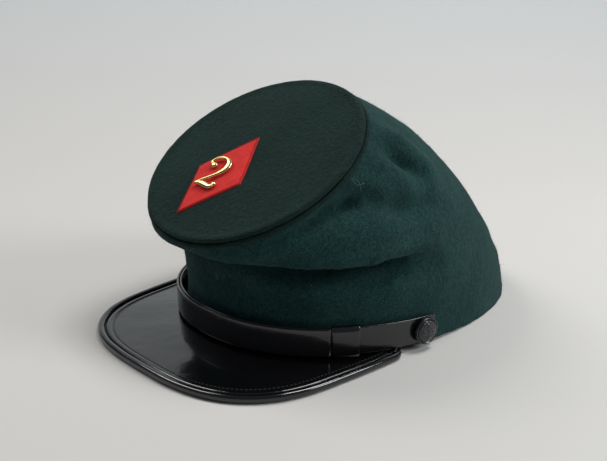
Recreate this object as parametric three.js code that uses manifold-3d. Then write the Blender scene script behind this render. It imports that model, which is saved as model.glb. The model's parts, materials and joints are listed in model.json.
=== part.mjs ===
// A forage cap (kepi): a slumped wool crown with a flat round top, a leather peak,
// a chin strap and two side buttons.
// Millimetres, +Z up. The peak points to -Y and the wearer's left side is +X. The cap lies on z = 0.
// The origin is below the centre of the bounding box.
import * as THREE from "three";
import { mergeVertices } from "three/addons/utils/BufferGeometryUtils.js";
import Module from "manifold-3d";

const wasm = await Module();
wasm.setup();

// ---------------------------------------------------------------- driving dimensions
const CLOTH = 2; // wall thickness of the wool
const GAP = 0.3; // clearance between touching pieces

// The head opening is a superellipse, lifted at the front where the peak props it up.
const BASE_HALF_LENGTH = 105;
const BASE_HALF_WIDTH = 81;
const BASE_ROUNDNESS = 2.2;
const FRONT_RISE = 4.5;
const FLAT_FROM_Y = 30; // behind this line the hem lies flat on the surface

// The round top leans forward over the peak.
const TOP_RADIUS = 60.1;
const TOP_CENTRE = new THREE.Vector3(0.2, -77.4, 96);
const TOP_NORMAL = new THREE.Vector3(0.036, -0.647, 1).normalize();
const TOP_THICKNESS = 2.2;
const WELT_RADIUS = 1.3; // the piping round the top's edge

// The peak: a flat crescent of leather with a bound edge.
const PEAK_HALF_WIDTH = 83;
const PEAK_REAR_Y = -52; // where its sides run straight back to the corners
const PEAK_DEPTH = 100; // from that line to the front edge
const PEAK_SQUARENESS = 3;
const PEAK_SHIFT = -2; // it sits a little towards the wearer's right
const PEAK_WAIST = { y: -88, inwards: 2.2, length: 25 }; // its sides draw in here
const PEAK_THICKNESS = 2.2;
const BINDING_WIDTH = 4;
const BINDING_HEIGHT = 4.2;

// The chin strap: two layers of leather, held together by a keeper on each side.
const STRAP_WIDTH = 14.3;
const STRAP_THICKNESS = 1.3;
const STRAP_LIFT = 1.1; // lower edge above the hem
const KEEPER_LEATHER = 0.7;
const BUTTON_ANGLE = 73.5; // degrees round the opening from the front, to either side
const STRAP_END_ANGLE = 77.5;
const LEFT_KEEPER = { from: 43, to: 52 };
const RIGHT_KEEPER = { from: -50, to: -59 };
const BUTTON_RADIUS = 7.15;

// The badge on the top: a lozenge of felt and a brass numeral.
const BADGE_HALF_LENGTH = 29.4;
const BADGE_HALF_WIDTH = 17.6;
const BADGE_THICKNESS = 1.2;
const NUMERAL_THICKNESS = 1.4;

// Places on the top: mm towards the wearer's left and backwards from its centre, and degrees of turn.
const BADGE_PLACE = { left: -7.2, back: -18.7, turn: -5.2 };
const NUMERAL_PLACE = { left: -8.5, back: -20, turn: 11.5 };

// The numeral's two strokes. x to the right, y up, from the middle of the figure.
const BOWL_STROKE = [
  { x: -5.0, y: 5.6, width: 1.2 },
  { x: -6.2, y: 7.8, width: 1.2 },
  { x: -4.6, y: 10.1, width: 1.3 },
  { x: -1.0, y: 11.0, width: 1.6 },
  { x: 2.8, y: 9.9, width: 2.4 },
  { x: 5.2, y: 6.8, width: 3.6 },
  { x: 5.2, y: 3.2, width: 3.4 },
  { x: 3.2, y: 0.2, width: 2.2 },
  { x: 0.2, y: -2.2, width: 1.5 },
  { x: -4.0, y: -5.0, width: 1.4 },
  { x: -8.0, y: -8.0, width: 0.6 },
];
const BASE_STROKE = [
  { x: -7.6, y: -7.8, width: 0.9 },
  { x: -4.6, y: -7.4, width: 2.6 },
  { x: -1.0, y: -8.2, width: 3.6 },
  { x: 2.6, y: -9.4, width: 2.6 },
  { x: 4.8, y: -8.6, width: 1.4 },
];
const BALLS = [
  { x: -3.8, y: 5.6, radius: 1.9 },
  { x: 4.6, y: -7.6, radius: 1.3 },
];

// Offsets of the crown's side from the straight line hem to top, mm outwards, at five heights.
// One row for each direction round the cap in degrees from the front; the wearer's right mirrors the left.
const HEIGHTS = [0, 0.15, 0.35, 0.55, 0.75, 0.9, 1];
const SECTIONS = [
  { at: 0, low: -4.6, mid: -10.0, waist: -16.0, high: -18.0, top: -1.0 },
  { at: 45, low: -3.0, mid: -5.2, waist: -8.0, high: -6.0, top: 2.5 },
  { at: 90, low: 2.6, mid: 6.6, waist: 7.6, high: 7.0, top: 3.6 },
  { at: 135, low: 8.2, mid: 14.6, waist: 16.8, high: 14.6, top: 7.6 },
  { at: 180, low: 8.0, mid: 15.0, waist: 18.0, high: 15.6, top: 8.4 },
];

// Folds of the crown's side. path runs through [degrees round, share of the height, mm pushed outwards],
// and below and above are the half widths of the fold, in mm, on either side of its path.
const FOLDS = [
  { name: "front tuck", below: 8.0, above: 3.6,
    path: [[-96, 0.5, 0], [-62, 0.6, -8], [-30, 0.7, -7], [0, 0.76, -4], [30, 0.71, -8], [62, 0.61, -11],
      [80, 0.56, -10], [98, 0.52, 0]] },
  { name: "lip over the tuck", below: 4.0, above: 6.0,
    path: [[-96, 0.58, 0], [-62, 0.69, 3.6], [-30, 0.8, 2.4], [0, 0.86, 1], [30, 0.81, 2.6], [62, 0.7, 5],
      [80, 0.64, 4.4], [98, 0.6, 0]] },
  { name: "swell under the tuck", below: 9.0, above: 6.0,
    path: [[-90, 0.38, 0], [-50, 0.5, 0.6], [-20, 0.58, 1.2], [20, 0.58, 1.4], [50, 0.48, 2.2],
      [90, 0.38, 0]] },
  { name: "left pocket", below: 5.0, above: 5.0,
    path: [[54, 0.97, 0], [70, 0.955, -5.5], [86, 0.915, -7.5], [102, 0.85, 0]] },
  { name: "right pocket", below: 5.0, above: 5.0,
    path: [[-50, 0.97, 0], [-66, 0.955, -3.4], [-86, 0.9, -4.4], [-106, 0.84, 0]] },
  { name: "left roll", below: 5.5, above: 5.5,
    path: [[46, 0.82, 0], [66, 0.785, 2.6], [84, 0.74, 2.8], [98, 0.7, 0]] },
  { name: "left high ridge", below: 3.2, above: 3.2,
    path: [[136, 1.0, 0], [130, 0.91, 3.2], [125, 0.8, 3.2], [117, 0.69, 0]] },
  { name: "left low ridge", below: 3.2, above: 3.2,
    path: [[110, 0.98, 0], [112.5, 0.9, 3.2], [113, 0.82, 3.0], [110, 0.75, 0]] },
  { name: "left gap", below: 4.5, above: 4.5,
    path: [[119, 0.98, 0], [120, 0.89, -3.6], [118, 0.8, -3.4], [114, 0.72, 0]] },
  { name: "left dip", below: 5.0, above: 5.0,
    path: [[90, 0.79, 0], [99, 0.765, -4.2], [108, 0.73, -3.6], [117, 0.66, 0]] },
  { name: "left drag", below: 5.0, above: 5.0,
    path: [[74, 0.44, 0], [86, 0.5, 2.2], [97, 0.56, 2.2], [108, 0.6, 0]] },
  { name: "right ridge", below: 4.0, above: 4.0,
    path: [[-128, 0.98, 0], [-124, 0.9, 2.2], [-118, 0.8, 2.0], [-110, 0.7, 0]] },
];

// ---------------------------------------------------------------- small helpers
const radians = THREE.MathUtils.degToRad;
const lerp = THREE.MathUtils.lerp;
const ease = (t) => THREE.MathUtils.smoothstep(t, 0, 1);
const signedPower = (value, power) => Math.sign(value) * Math.abs(value) ** power;

// n + 1 values from first to last.
const steps = (n, first, last) => Array.from({ length: n + 1 }, (_, i) => lerp(first, last, i / n));

// The angle in degrees, from -180 up to 180.
const signedDegrees = (angle) =>
  THREE.MathUtils.euclideanModulo(THREE.MathUtils.radToDeg(angle) + 180, 360) - 180;

// The cubic from a to b whose slopes there are slopeA and slopeB.
function cubic(a, b, slopeA, slopeB, t) {
  const bend = 2 * a - 2 * b + slopeA + slopeB;
  const pull = 3 * b - 3 * a - 2 * slopeA - slopeB;
  return ((bend * t + pull) * t + slopeA) * t + a;
}

// Reverses the triangles if the closed mesh encloses a negative volume.
function facingOut(geometry) {
  const position = geometry.getAttribute("position");
  const index = geometry.getIndex();
  const [a, b, c] = [new THREE.Vector3(), new THREE.Vector3(), new THREE.Vector3()];
  let volume = 0;
  for (let i = 0; i < index.count; i += 3) {
    a.fromBufferAttribute(position, index.getX(i));
    b.fromBufferAttribute(position, index.getX(i + 1));
    c.fromBufferAttribute(position, index.getX(i + 2));
    volume += a.dot(b.cross(c));
  }
  if (volume < 0) {
    index.array.reverse();
  }
  return geometry;
}

// A closed mesh from rings of equal, even length, each joined to the next.
// A chain of rings with ends gets a strip of triangles over each end; otherwise the last ring joins
// the first.
function skin(rings, { ends = false } = {}) {
  const size = rings[0].length;
  const joins = ends ? rings.length - 1 : rings.length;
  const indices = [];
  for (let i = 0; i < joins; i += 1) {
    const next = (i + 1) % rings.length;
    for (let j = 0; j < size; j += 1) {
      const after = (j + 1) % size;
      const corners = [i * size + j, i * size + after, next * size + after, next * size + j];
      indices.push(corners[0], corners[1], corners[2], corners[0], corners[2], corners[3]);
    }
  }
  const last = (rings.length - 1) * size;
  for (let j = 0; ends && j < size / 2 - 1; j += 1) {
    const [a, b, c, d] = [j, j + 1, size - 2 - j, size - 1 - j];
    indices.push(a, c, b, a, d, c);
    indices.push(last + a, last + b, last + c, last + a, last + c, last + d);
  }
  const geometry = new THREE.BufferGeometry();
  const positions = rings.flat().flatMap((p) => [p.x, p.y, p.z]);
  geometry.setAttribute("position", new THREE.Float32BufferAttribute(positions, 3));
  geometry.setIndex(indices);
  return facingOut(geometry);
}

// A lathe round +Z from a profile of [radius, height] pairs.
function lathe(profile, segments) {
  const points = profile.map(([radius, height]) => new THREE.Vector2(radius, height));
  return new THREE.LatheGeometry(points, segments).rotateX(Math.PI / 2);
}

// ---------------------------------------------------------------- the head opening
// The level direction square to the opening's outline at an angle from the front.
function outward(angle) {
  const x = signedPower(Math.sin(angle), 2 - 2 / BASE_ROUNDNESS) / BASE_HALF_WIDTH;
  const y = -signedPower(Math.cos(angle), 2 - 2 / BASE_ROUNDNESS) / BASE_HALF_LENGTH;
  return new THREE.Vector3(x, y, 0).normalize();
}

// The point of the opening's outline at an angle from the front, moved outwards by offset, at z = 0.
function hemPoint(angle, offset = 0) {
  const x = BASE_HALF_WIDTH * signedPower(Math.sin(angle), 2 / BASE_ROUNDNESS);
  const y = -BASE_HALF_LENGTH * signedPower(Math.cos(angle), 2 / BASE_ROUNDNESS);
  return new THREE.Vector3(x, y, 0).addScaledVector(outward(angle), offset);
}

// Height of the hem above the surface.
const hemHeight = (y) => (FRONT_RISE * Math.max(0, FLAT_FROM_Y - y)) / (FLAT_FROM_Y + BASE_HALF_LENGTH);

// ---------------------------------------------------------------- the crown's side
const SIDE_COLUMNS = 72;
const SIDE_ROWS = 22;
const SIDE_TOP_RADIUS = TOP_RADIUS - 1;
const SIDE_TOP_DROP = 2 * WELT_RADIUS + GAP; // its upper edge ends under the welt
const ARC_RADIUS = 72; // mean radius of the side, turns an angle round the cap into mm
const FRONT_CLOTH = 62; // cloth from hem to top in front
const BACK_CLOTH = 172; // and at the back
const FOLD_STEPS = 6; // straight pieces between two points of a fold's path

const TOP_LEFT = new THREE.Vector3(0, 1, 0).cross(TOP_NORMAL).normalize();
const TOP_BACK = TOP_NORMAL.clone().cross(TOP_LEFT);

// Outward direction in the top's plane, at an angle from the front.
function topDirection(angle) {
  return TOP_LEFT.clone().multiplyScalar(Math.sin(angle)).addScaledVector(TOP_BACK, -Math.cos(angle));
}

// The point of the side's upper edge, moved inwards by depth.
function topEdgePoint(angle, depth = 0) {
  return TOP_CENTRE.clone()
    .addScaledVector(topDirection(angle), SIDE_TOP_RADIUS - depth)
    .addScaledVector(TOP_NORMAL, -SIDE_TOP_DROP);
}

// One column of SECTIONS, smoothly between its rows.
function sectionColumn(column, angle) {
  const interval = SECTIONS[1].at;
  const last = SECTIONS.length - 1;
  const place = Math.abs(signedDegrees(angle)) / interval;
  const row = Math.min(last - 1, Math.floor(place));
  const mirror = (i) => last - Math.abs(last - Math.abs(i));
  const [before, from, to, after] = [-1, 0, 1, 2].map((step) => SECTIONS[mirror(row + step)][column]);
  return cubic(from, to, (to - before) / 2, (after - from) / 2, place - row);
}

// Offset of the side from the straight line between hem and top.
function sectionOffset(angle, share) {
  const inner = ["low", "mid", "waist", "high", "top"].map((column) => sectionColumn(column, angle));
  const values = [0, ...inner, 0];
  const last = HEIGHTS.length - 1;
  const i = Math.min(last - 1, HEIGHTS.findLastIndex((height) => height <= share));
  const step = HEIGHTS[i + 1] - HEIGHTS[i];
  const slope = (j) => {
    const [a, b] = [Math.max(0, j - 1), Math.min(last, j + 1)];
    return ((values[b] - values[a]) / (HEIGHTS[b] - HEIGHTS[a])) * step;
  };
  return cubic(values[i], values[i + 1], slope(i), slope(i + 1), (share - HEIGHTS[i]) / step);
}

// The side before its folds: a tube lofted from the hem to the top.
function smoothSide(angle, share) {
  const hem = hemPoint(angle);
  hem.z = hemHeight(hem.y);
  const direction = outward(angle).lerp(topDirection(angle), share).normalize();
  return hem.lerp(topEdgePoint(angle), share).addScaledVector(direction, sectionOffset(angle, share));
}

// A place on the unrolled cloth in mm: round the cap, and up from the hem.
function onCloth(degrees, share) {
  const angle = radians(degrees);
  const length = lerp(FRONT_CLOTH, BACK_CLOTH, (1 - Math.cos(angle)) / 2);
  return new THREE.Vector2(angle * ARC_RADIUS, share * length);
}

// Each fold's path as points on the unrolled cloth, with the push at each of them.
const FOLD_PATHS = FOLDS.map(({ path }) => {
  const curve = new THREE.CatmullRomCurve3(path.map((row) => new THREE.Vector3(...row)));
  const rows = steps(FOLD_STEPS * (path.length - 1), 0, 1).map((t) => curve.getPoint(t));
  return rows.map((row) => ({ place: onCloth(row.x, row.y), push: row.z }));
});

// How far one fold moves the cloth outwards at a place on the unrolled cloth.
function foldPush(fold, path, here) {
  let nearest = { distance: Infinity };
  for (let i = 0; i + 1 < path.length; i += 1) {
    const along = path[i + 1].place.clone().sub(path[i].place);
    const offset = here.clone().sub(path[i].place);
    const t = THREE.MathUtils.clamp(offset.dot(along) / along.lengthSq(), 0, 1);
    const distance = offset.clone().addScaledVector(along, -t).length();
    if (distance < nearest.distance) {
      const upwards = along.x >= 0 ? 1 : -1;
      const width = along.cross(offset) * upwards >= 0 ? fold.above : fold.below;
      nearest = { distance, width, push: lerp(path[i].push, path[i + 1].push, t) };
    }
  }
  return nearest.push * Math.exp(-((nearest.distance / nearest.width) ** 2));
}

// How far all folds together move the cloth outwards. The hem and the upper edge stay put.
function foldOffset(angle, share) {
  const here = onCloth(signedDegrees(angle), share);
  const total = FOLDS.reduce((sum, fold, i) => sum + foldPush(fold, FOLD_PATHS[i], here), 0);
  return total * ease(share / 0.06) * ease((1 - share) / 0.03);
}

// The side's outer face at depth 0, and its inner face at depth CLOTH.
function sidePoint(angle, share, depth) {
  const small = 1e-3;
  const round = smoothSide(angle + small, share).sub(smoothSide(angle - small, share));
  const above = smoothSide(angle, Math.min(1, share + small));
  const up = above.sub(smoothSide(angle, Math.max(0, share - small)));
  const normal = round.cross(up).normalize();
  return smoothSide(angle, share).addScaledVector(normal, foldOffset(angle, share) - depth);
}

function sideRing(share, depth) {
  return Array.from({ length: SIDE_COLUMNS }, (_, i) => {
    const angle = (2 * Math.PI * i) / SIDE_COLUMNS;
    if (share === 1) {
      return topEdgePoint(angle, depth);
    }
    const point = sidePoint(angle, share, depth);
    if (share === 0) {
      point.z = hemHeight(point.y);
    }
    return point;
  });
}

function crownSide() {
  const shares = steps(SIDE_ROWS, 0, 1);
  const outer = shares.map((share) => sideRing(share, 0));
  const inner = shares.map((share) => sideRing(share, CLOTH)).reverse();
  return skin([...outer, ...inner]);
}

// ---------------------------------------------------------------- the round top and its welt
const TOP_SEGMENTS = 72;
const WELT_SIDES = 8;
const WELT_CENTRE_RADIUS = TOP_RADIUS + 0.2;
const TOP_SHOULDER = 1.4; // radius of the top's upper edge

function crownTop() {
  const edge = WELT_CENTRE_RADIUS - WELT_RADIUS - GAP;
  const shoulder = steps(3, 0, Math.PI / 2).map((angle) => [
    edge + TOP_SHOULDER * (Math.cos(angle) - 1),
    TOP_SHOULDER * (Math.sin(angle) - 1),
  ]);
  return lathe([[0, -TOP_THICKNESS], [edge, -TOP_THICKNESS], ...shoulder, [0, 0]], TOP_SEGMENTS);
}

function crownWelt() {
  const profile = steps(WELT_SIDES, 0, 2 * Math.PI).map((angle) => [
    WELT_CENTRE_RADIUS + WELT_RADIUS * Math.cos(angle),
    WELT_RADIUS * (Math.sin(angle) - 1),
  ]);
  profile[profile.length - 1] = profile[0];
  return lathe(profile, TOP_SEGMENTS);
}

// ---------------------------------------------------------------- the peak and its binding
const PEAK_CORNER_RADIUS = 6;
const PEAK_STEPS = 56;
const PEAK_ROWS = 4;
const PEAK_SEWN_TO = radians(65); // it is sewn to the hem from the front to here, on either side
const PEAK_SEWN_UNDER = 1.2; // how far its inner edge lies under the wool
const PEAK_EDGE_LIFT = 0.5; // its underside above the surface, inside the binding

// The peak's outline in plan, moved inwards by inset, from the right rear corner to the left one.
class PeakOutline extends THREE.Curve {
  constructor(inset) {
    super();
    this.inset = inset;
  }

  getPoint(t) {
    const cornerShare = 0.05;
    const side = t < 0.5 ? -1 : 1;
    const along = Math.abs(2 * t - 1);
    const quarter = Math.PI / 2;
    if (along > 1 - cornerShare) {
      const turn = (quarter * (along - (1 - cornerShare))) / cornerShare;
      const radius = PEAK_CORNER_RADIUS - this.inset;
      const x = PEAK_HALF_WIDTH - PEAK_CORNER_RADIUS + radius * Math.cos(turn);
      return this.place(side, x, PEAK_REAR_Y + radius * Math.sin(turn));
    }
    const angle = (quarter * along) / (1 - cornerShare);
    const x = (PEAK_HALF_WIDTH - this.inset) * Math.sin(angle) ** (2 / PEAK_SQUARENESS);
    const y = (PEAK_DEPTH - this.inset) * Math.cos(angle) ** (2 / PEAK_SQUARENESS);
    return this.place(side, x, PEAK_REAR_Y - y);
  }

  place(side, x, y) {
    const waist = PEAK_WAIST.inwards * Math.exp(-(((y - PEAK_WAIST.y) / PEAK_WAIST.length) ** 2));
    return new THREE.Vector3(side * (x - waist) + PEAK_SHIFT, y, 0);
  }
}

// The binding is pressed flatter where it runs under the chin strap.
function bindingHeight(y) {
  return Math.min(BINDING_HEIGHT, hemHeight(y) + STRAP_LIFT - GAP);
}

// Cross-sections run from the inner edge under the hem to the outer edge, on top, and back underneath.
function peak() {
  const edge = new PeakOutline(BINDING_WIDTH + GAP).getSpacedPoints(PEAK_STEPS);
  const rings = steps(PEAK_STEPS, -PEAK_SEWN_TO, PEAK_SEWN_TO).map((angle, i) => {
    const root = hemPoint(angle, -PEAK_SEWN_UNDER);
    root.z = hemHeight(root.y) - GAP - PEAK_THICKNESS / 2;
    edge[i].z = PEAK_EDGE_LIFT + PEAK_THICKNESS / 2;
    const middle = steps(PEAK_ROWS, 0, 1).map((share) => root.clone().lerp(edge[i], share));
    const lifted = (rise) => middle.map((p) => p.clone().setZ(p.z + rise));
    return [...lifted(PEAK_THICKNESS / 2), ...lifted(-PEAK_THICKNESS / 2).reverse()];
  });
  return skin(rings, { ends: true });
}

function peakBinding() {
  const roundness = 2.6;
  const around = steps(10, 0, 2 * Math.PI).slice(0, -1);
  const section = around.map((angle) => new THREE.Vector2(
    (signedPower(Math.cos(angle), 2 / roundness) * BINDING_WIDTH) / 2,
    (signedPower(Math.sin(angle), 2 / roundness) + 1) / 2,
  ));
  const line = new PeakOutline(BINDING_WIDTH / 2);
  const rings = steps(PEAK_STEPS, 0, 1).map((share) => {
    const centre = line.getPointAt(share);
    const tangent = line.getTangentAt(share);
    const across = new THREE.Vector3(-tangent.y, tangent.x, 0);
    const height = bindingHeight(centre.y);
    return section.map((p) => centre.clone().addScaledVector(across, p.x).setZ(p.y * height));
  });
  return skin(rings, { ends: true });
}

// ---------------------------------------------------------------- the chin strap
const STRAP_STEPS = 36;
const STRAP_CHAMFER = 0.3;
const STRAP_CLEARANCE = 0.7; // from the wool to the inner layer at the sides
const STRAP_SLACK = 1.2; // it stands further off in front by this much
const LAYER_PITCH = STRAP_THICKNESS + GAP;
const STRAP_CROSSOVER = 8; // degrees in which the outer layer comes down to the wool past the right keeper

// Distance from the opening's outline to the inner face of a layer.
function layerOffset(layer, degrees) {
  const slack = STRAP_SLACK * Math.cos(radians(degrees)) ** 2;
  const raised = layer * (1 - ease((RIGHT_KEEPER.to - degrees) / STRAP_CROSSOVER));
  return STRAP_CLEARANCE + slack + raised * LAYER_PITCH;
}

// A point beside the opening: offset outwards from its outline, and up from the hem.
function besideHem(angle, offset, rise) {
  const point = hemPoint(angle, offset);
  return point.setZ(hemHeight(hemPoint(angle).y) + rise);
}

// One layer of the strap between two directions in degrees, a flat band with broken edges.
function strapLayer(layer, from, to) {
  const [t, w, c] = [STRAP_THICKNESS, STRAP_WIDTH, STRAP_CHAMFER];
  const section = [[c, 0], [t - c, 0], [t, c], [t, w - c], [t - c, w], [c, w], [0, w - c], [0, c]];
  const rings = steps(STRAP_STEPS, from, to).map((degrees) =>
    section.map(([depth, rise]) =>
      besideHem(radians(degrees), layerOffset(layer, degrees) + depth, STRAP_LIFT + rise)));
  return skin(rings, { ends: true });
}

// A loop of leather round one layer of the strap, between two directions in degrees.
function keeper(layer, { from, to }) {
  const angles = steps(4, from, to);
  const corner = (outwards, upwards) => {
    const edge = (degrees, leather) => {
      const depth = outwards ? STRAP_THICKNESS + GAP + leather : -GAP - leather;
      const offset = layerOffset(layer, degrees) + depth;
      const rise = STRAP_LIFT + (upwards ? STRAP_WIDTH + GAP + leather : -GAP - leather);
      return besideHem(radians(degrees), offset, rise);
    };
    const inner = angles.map((degrees) => edge(degrees, 0));
    const outer = angles.map((degrees) => edge(degrees, KEEPER_LEATHER)).reverse();
    return [...inner, ...outer];
  };
  return skin([corner(false, false), corner(true, false), corner(true, true), corner(false, true)]);
}

// ---------------------------------------------------------------- the buttons
const BUTTON_EDGE_HEIGHT = 2.4;
const BUTTON_DOME_RADIUS = 6.1;
const BUTTON_DOME_HEIGHT = 1.9;
const BUTTON_GROOVE = 0.4;
const BUTTON_LOWER_CHAMFER = 0.8;
const BUTTON_UPPER_CHAMFER = 0.4;
const BUTTON_STANDOFF = 0.8; // its flat back clears the curved strap by about GAP at its edges

function button() {
  const r = BUTTON_RADIUS;
  const [lower, upper] = [BUTTON_LOWER_CHAMFER, BUTTON_UPPER_CHAMFER];
  const edge = BUTTON_EDGE_HEIGHT;
  const rim = [[0, 0], [r - lower, 0], [r, lower], [r, edge - upper], [r - upper, edge]];
  const dome = steps(6, 0, Math.PI / 2).map((angle) => [
    BUTTON_DOME_RADIUS * Math.cos(angle),
    BUTTON_EDGE_HEIGHT - BUTTON_GROOVE + BUTTON_DOME_HEIGHT * Math.sin(angle),
  ]);
  dome[dome.length - 1][0] = 0;
  return lathe([...rim, ...dome], 24);
}

// Turns a button to face outwards from the strap's end.
function placeButton(mesh, degrees) {
  const layer = degrees < 0 ? 1 : 0;
  const angle = radians(degrees);
  const offset = layerOffset(layer, degrees) + STRAP_THICKNESS + BUTTON_STANDOFF;
  mesh.position.copy(besideHem(angle, offset, STRAP_LIFT + STRAP_WIDTH / 2));
  mesh.quaternion.setFromUnitVectors(new THREE.Vector3(0, 0, 1), outward(angle));
}

// ---------------------------------------------------------------- the badge
const BADGE_BEVEL = 0.3;
const STROKE_STEPS = 3; // pieces between two rows of a stroke
const BEVEL_HEIGHT = 0.55; // share of the numeral's thickness at which its edges start to slope
const FLAT_SHARE = 0.4; // share of a stroke's width that is flat on top
const BALL_FLAT_SHARE = 0.5;

function badgePatch() {
  const [width, length] = [BADGE_HALF_WIDTH, BADGE_HALF_LENGTH];
  const corners = [[0, length], [-width, 0], [0, -length], [width, 0]];
  const lozenge = new THREE.Shape(corners.map(([x, y]) => new THREE.Vector2(x, y)));
  const geometry = new THREE.ExtrudeGeometry(lozenge, {
    depth: BADGE_THICKNESS - 2 * BADGE_BEVEL,
    bevelThickness: BADGE_BEVEL,
    bevelSize: BADGE_BEVEL,
    bevelOffset: -BADGE_BEVEL,
    bevelSegments: 2,
  });
  return geometry.translate(0, 0, BADGE_BEVEL);
}

// One stroke of the numeral: a bar with sloped upper edges along the rows of its table.
function stroke(rows) {
  const line = new THREE.CatmullRomCurve3(rows.map((row) => new THREE.Vector3(row.x, row.y, row.width)));
  const height = NUMERAL_THICKNESS;
  const [bevel, flat] = [BEVEL_HEIGHT * height, FLAT_SHARE];
  const section = [[-1, 0], [1, 0], [1, bevel], [flat, height], [-flat, height], [-1, bevel]];
  const rings = steps(STROKE_STEPS * (rows.length - 1), 0, 1).map((t) => {
    const point = line.getPoint(t);
    const tangent = line.getTangent(t).setZ(0).normalize();
    const across = new THREE.Vector3(-tangent.y, tangent.x, 0).multiplyScalar(point.z / 2);
    return section.map(([side, z]) => point.clone().addScaledVector(across, side).setZ(z));
  });
  return skin(rings, { ends: true });
}

function ball({ x, y, radius }) {
  const height = NUMERAL_THICKNESS;
  const side = [[0, 0], [radius, 0], [radius, BEVEL_HEIGHT * height]];
  const top = [[BALL_FLAT_SHARE * radius, height], [0, height]];
  return lathe([...side, ...top], 16).translate(x, y, 0);
}

// Joins closed geometries into one.
function union(geometries) {
  const solids = geometries.map((geometry) => {
    geometry.deleteAttribute("normal");
    geometry.deleteAttribute("uv");
    const merged = mergeVertices(geometry, 1e-4);
    const vertProperties = merged.getAttribute("position").array;
    const triVerts = new Uint32Array(merged.getIndex().array);
    return new wasm.Manifold(new wasm.Mesh({ numProp: 3, vertProperties, triVerts }));
  });
  const mesh = solids.reduce((sum, solid) => sum.add(solid)).getMesh();
  const geometry = new THREE.BufferGeometry();
  geometry.setAttribute("position", new THREE.BufferAttribute(mesh.vertProperties, 3));
  geometry.setIndex(new THREE.BufferAttribute(mesh.triVerts, 1));
  return geometry;
}

const brassNumeral = () => union([stroke(BOWL_STROKE), stroke(BASE_STROKE), ...BALLS.map(ball)]);

// ---------------------------------------------------------------- assembly
const material = (color, roughness, metalness) =>
  new THREE.MeshStandardMaterial({ color, roughness, metalness });
const WOOL = material(0x12352f, 0.95, 0);
const PEAK_LEATHER = material(0x0d0d0f, 0.2, 0);
const STRAP_LEATHER = material(0x151517, 0.35, 0);
const BUTTON_BLACK = material(0x0b0b0d, 0.3, 0);
const FELT = material(0xd2232a, 0.9, 0);
const BRASS = material(0xd9b45a, 0.25, 1);

const cap = new THREE.Group();

function add(parent, name, geometry, finish) {
  const mesh = new THREE.Mesh(geometry, finish);
  mesh.name = name;
  parent.add(mesh);
  return mesh;
}

add(cap, "crown_side", crownSide(), WOOL);
add(cap, "peak", peak(), PEAK_LEATHER);
add(cap, "peak_binding", peakBinding(), PEAK_LEATHER);
// Each layer runs from one button to the keeper on the other side.
add(cap, "strap_inner", strapLayer(0, RIGHT_KEEPER.from + 0.3, STRAP_END_ANGLE), STRAP_LEATHER);
add(cap, "strap_outer", strapLayer(1, -STRAP_END_ANGLE, LEFT_KEEPER.from - 0.3), STRAP_LEATHER);
add(cap, "keeper_left", keeper(0, LEFT_KEEPER), STRAP_LEATHER);
add(cap, "keeper_right", keeper(1, RIGHT_KEEPER), STRAP_LEATHER);
placeButton(add(cap, "button_left", button(), BUTTON_BLACK), BUTTON_ANGLE);
placeButton(add(cap, "button_right", button(), BUTTON_BLACK), -BUTTON_ANGLE);

// The round top's own frame: +X to the wearer's left, +Y backwards and +Z out of the cap.
const top = new THREE.Group();
top.setRotationFromMatrix(new THREE.Matrix4().makeBasis(TOP_LEFT, TOP_BACK, TOP_NORMAL));
top.position.copy(TOP_CENTRE);
cap.add(top);
add(top, "crown_top", crownTop(), WOOL);
add(top, "crown_welt", crownWelt(), WOOL);

function placeOnTop(mesh, place, rise) {
  mesh.position.set(place.left, place.back, rise);
  mesh.rotation.z = radians(place.turn);
}
placeOnTop(add(top, "badge_patch", badgePatch(), FELT), BADGE_PLACE, GAP);
placeOnTop(add(top, "brass_numeral", brassNumeral(), BRASS), NUMERAL_PLACE, BADGE_THICKNESS + 2 * GAP);

// The origin lies below the middle of the cap's bounding box.
const extent = new THREE.Box3().setFromObject(cap);
cap.position.set(-(extent.min.x + extent.max.x) / 2, -(extent.min.y + extent.max.y) / 2, -extent.min.z);

export default cap;
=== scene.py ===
"""A forage cap (kepi): slumped green wool crown, glossy black peak, chin strap, black buttons and a badge.

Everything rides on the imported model's one body. Metres, +Z up, the peak points to -Y.
"""
import json
import math

import bmesh
import bpy
import numpy as np
from mathutils import Matrix, Vector, noise
from mathutils.bvhtree import BVHTree


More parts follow.
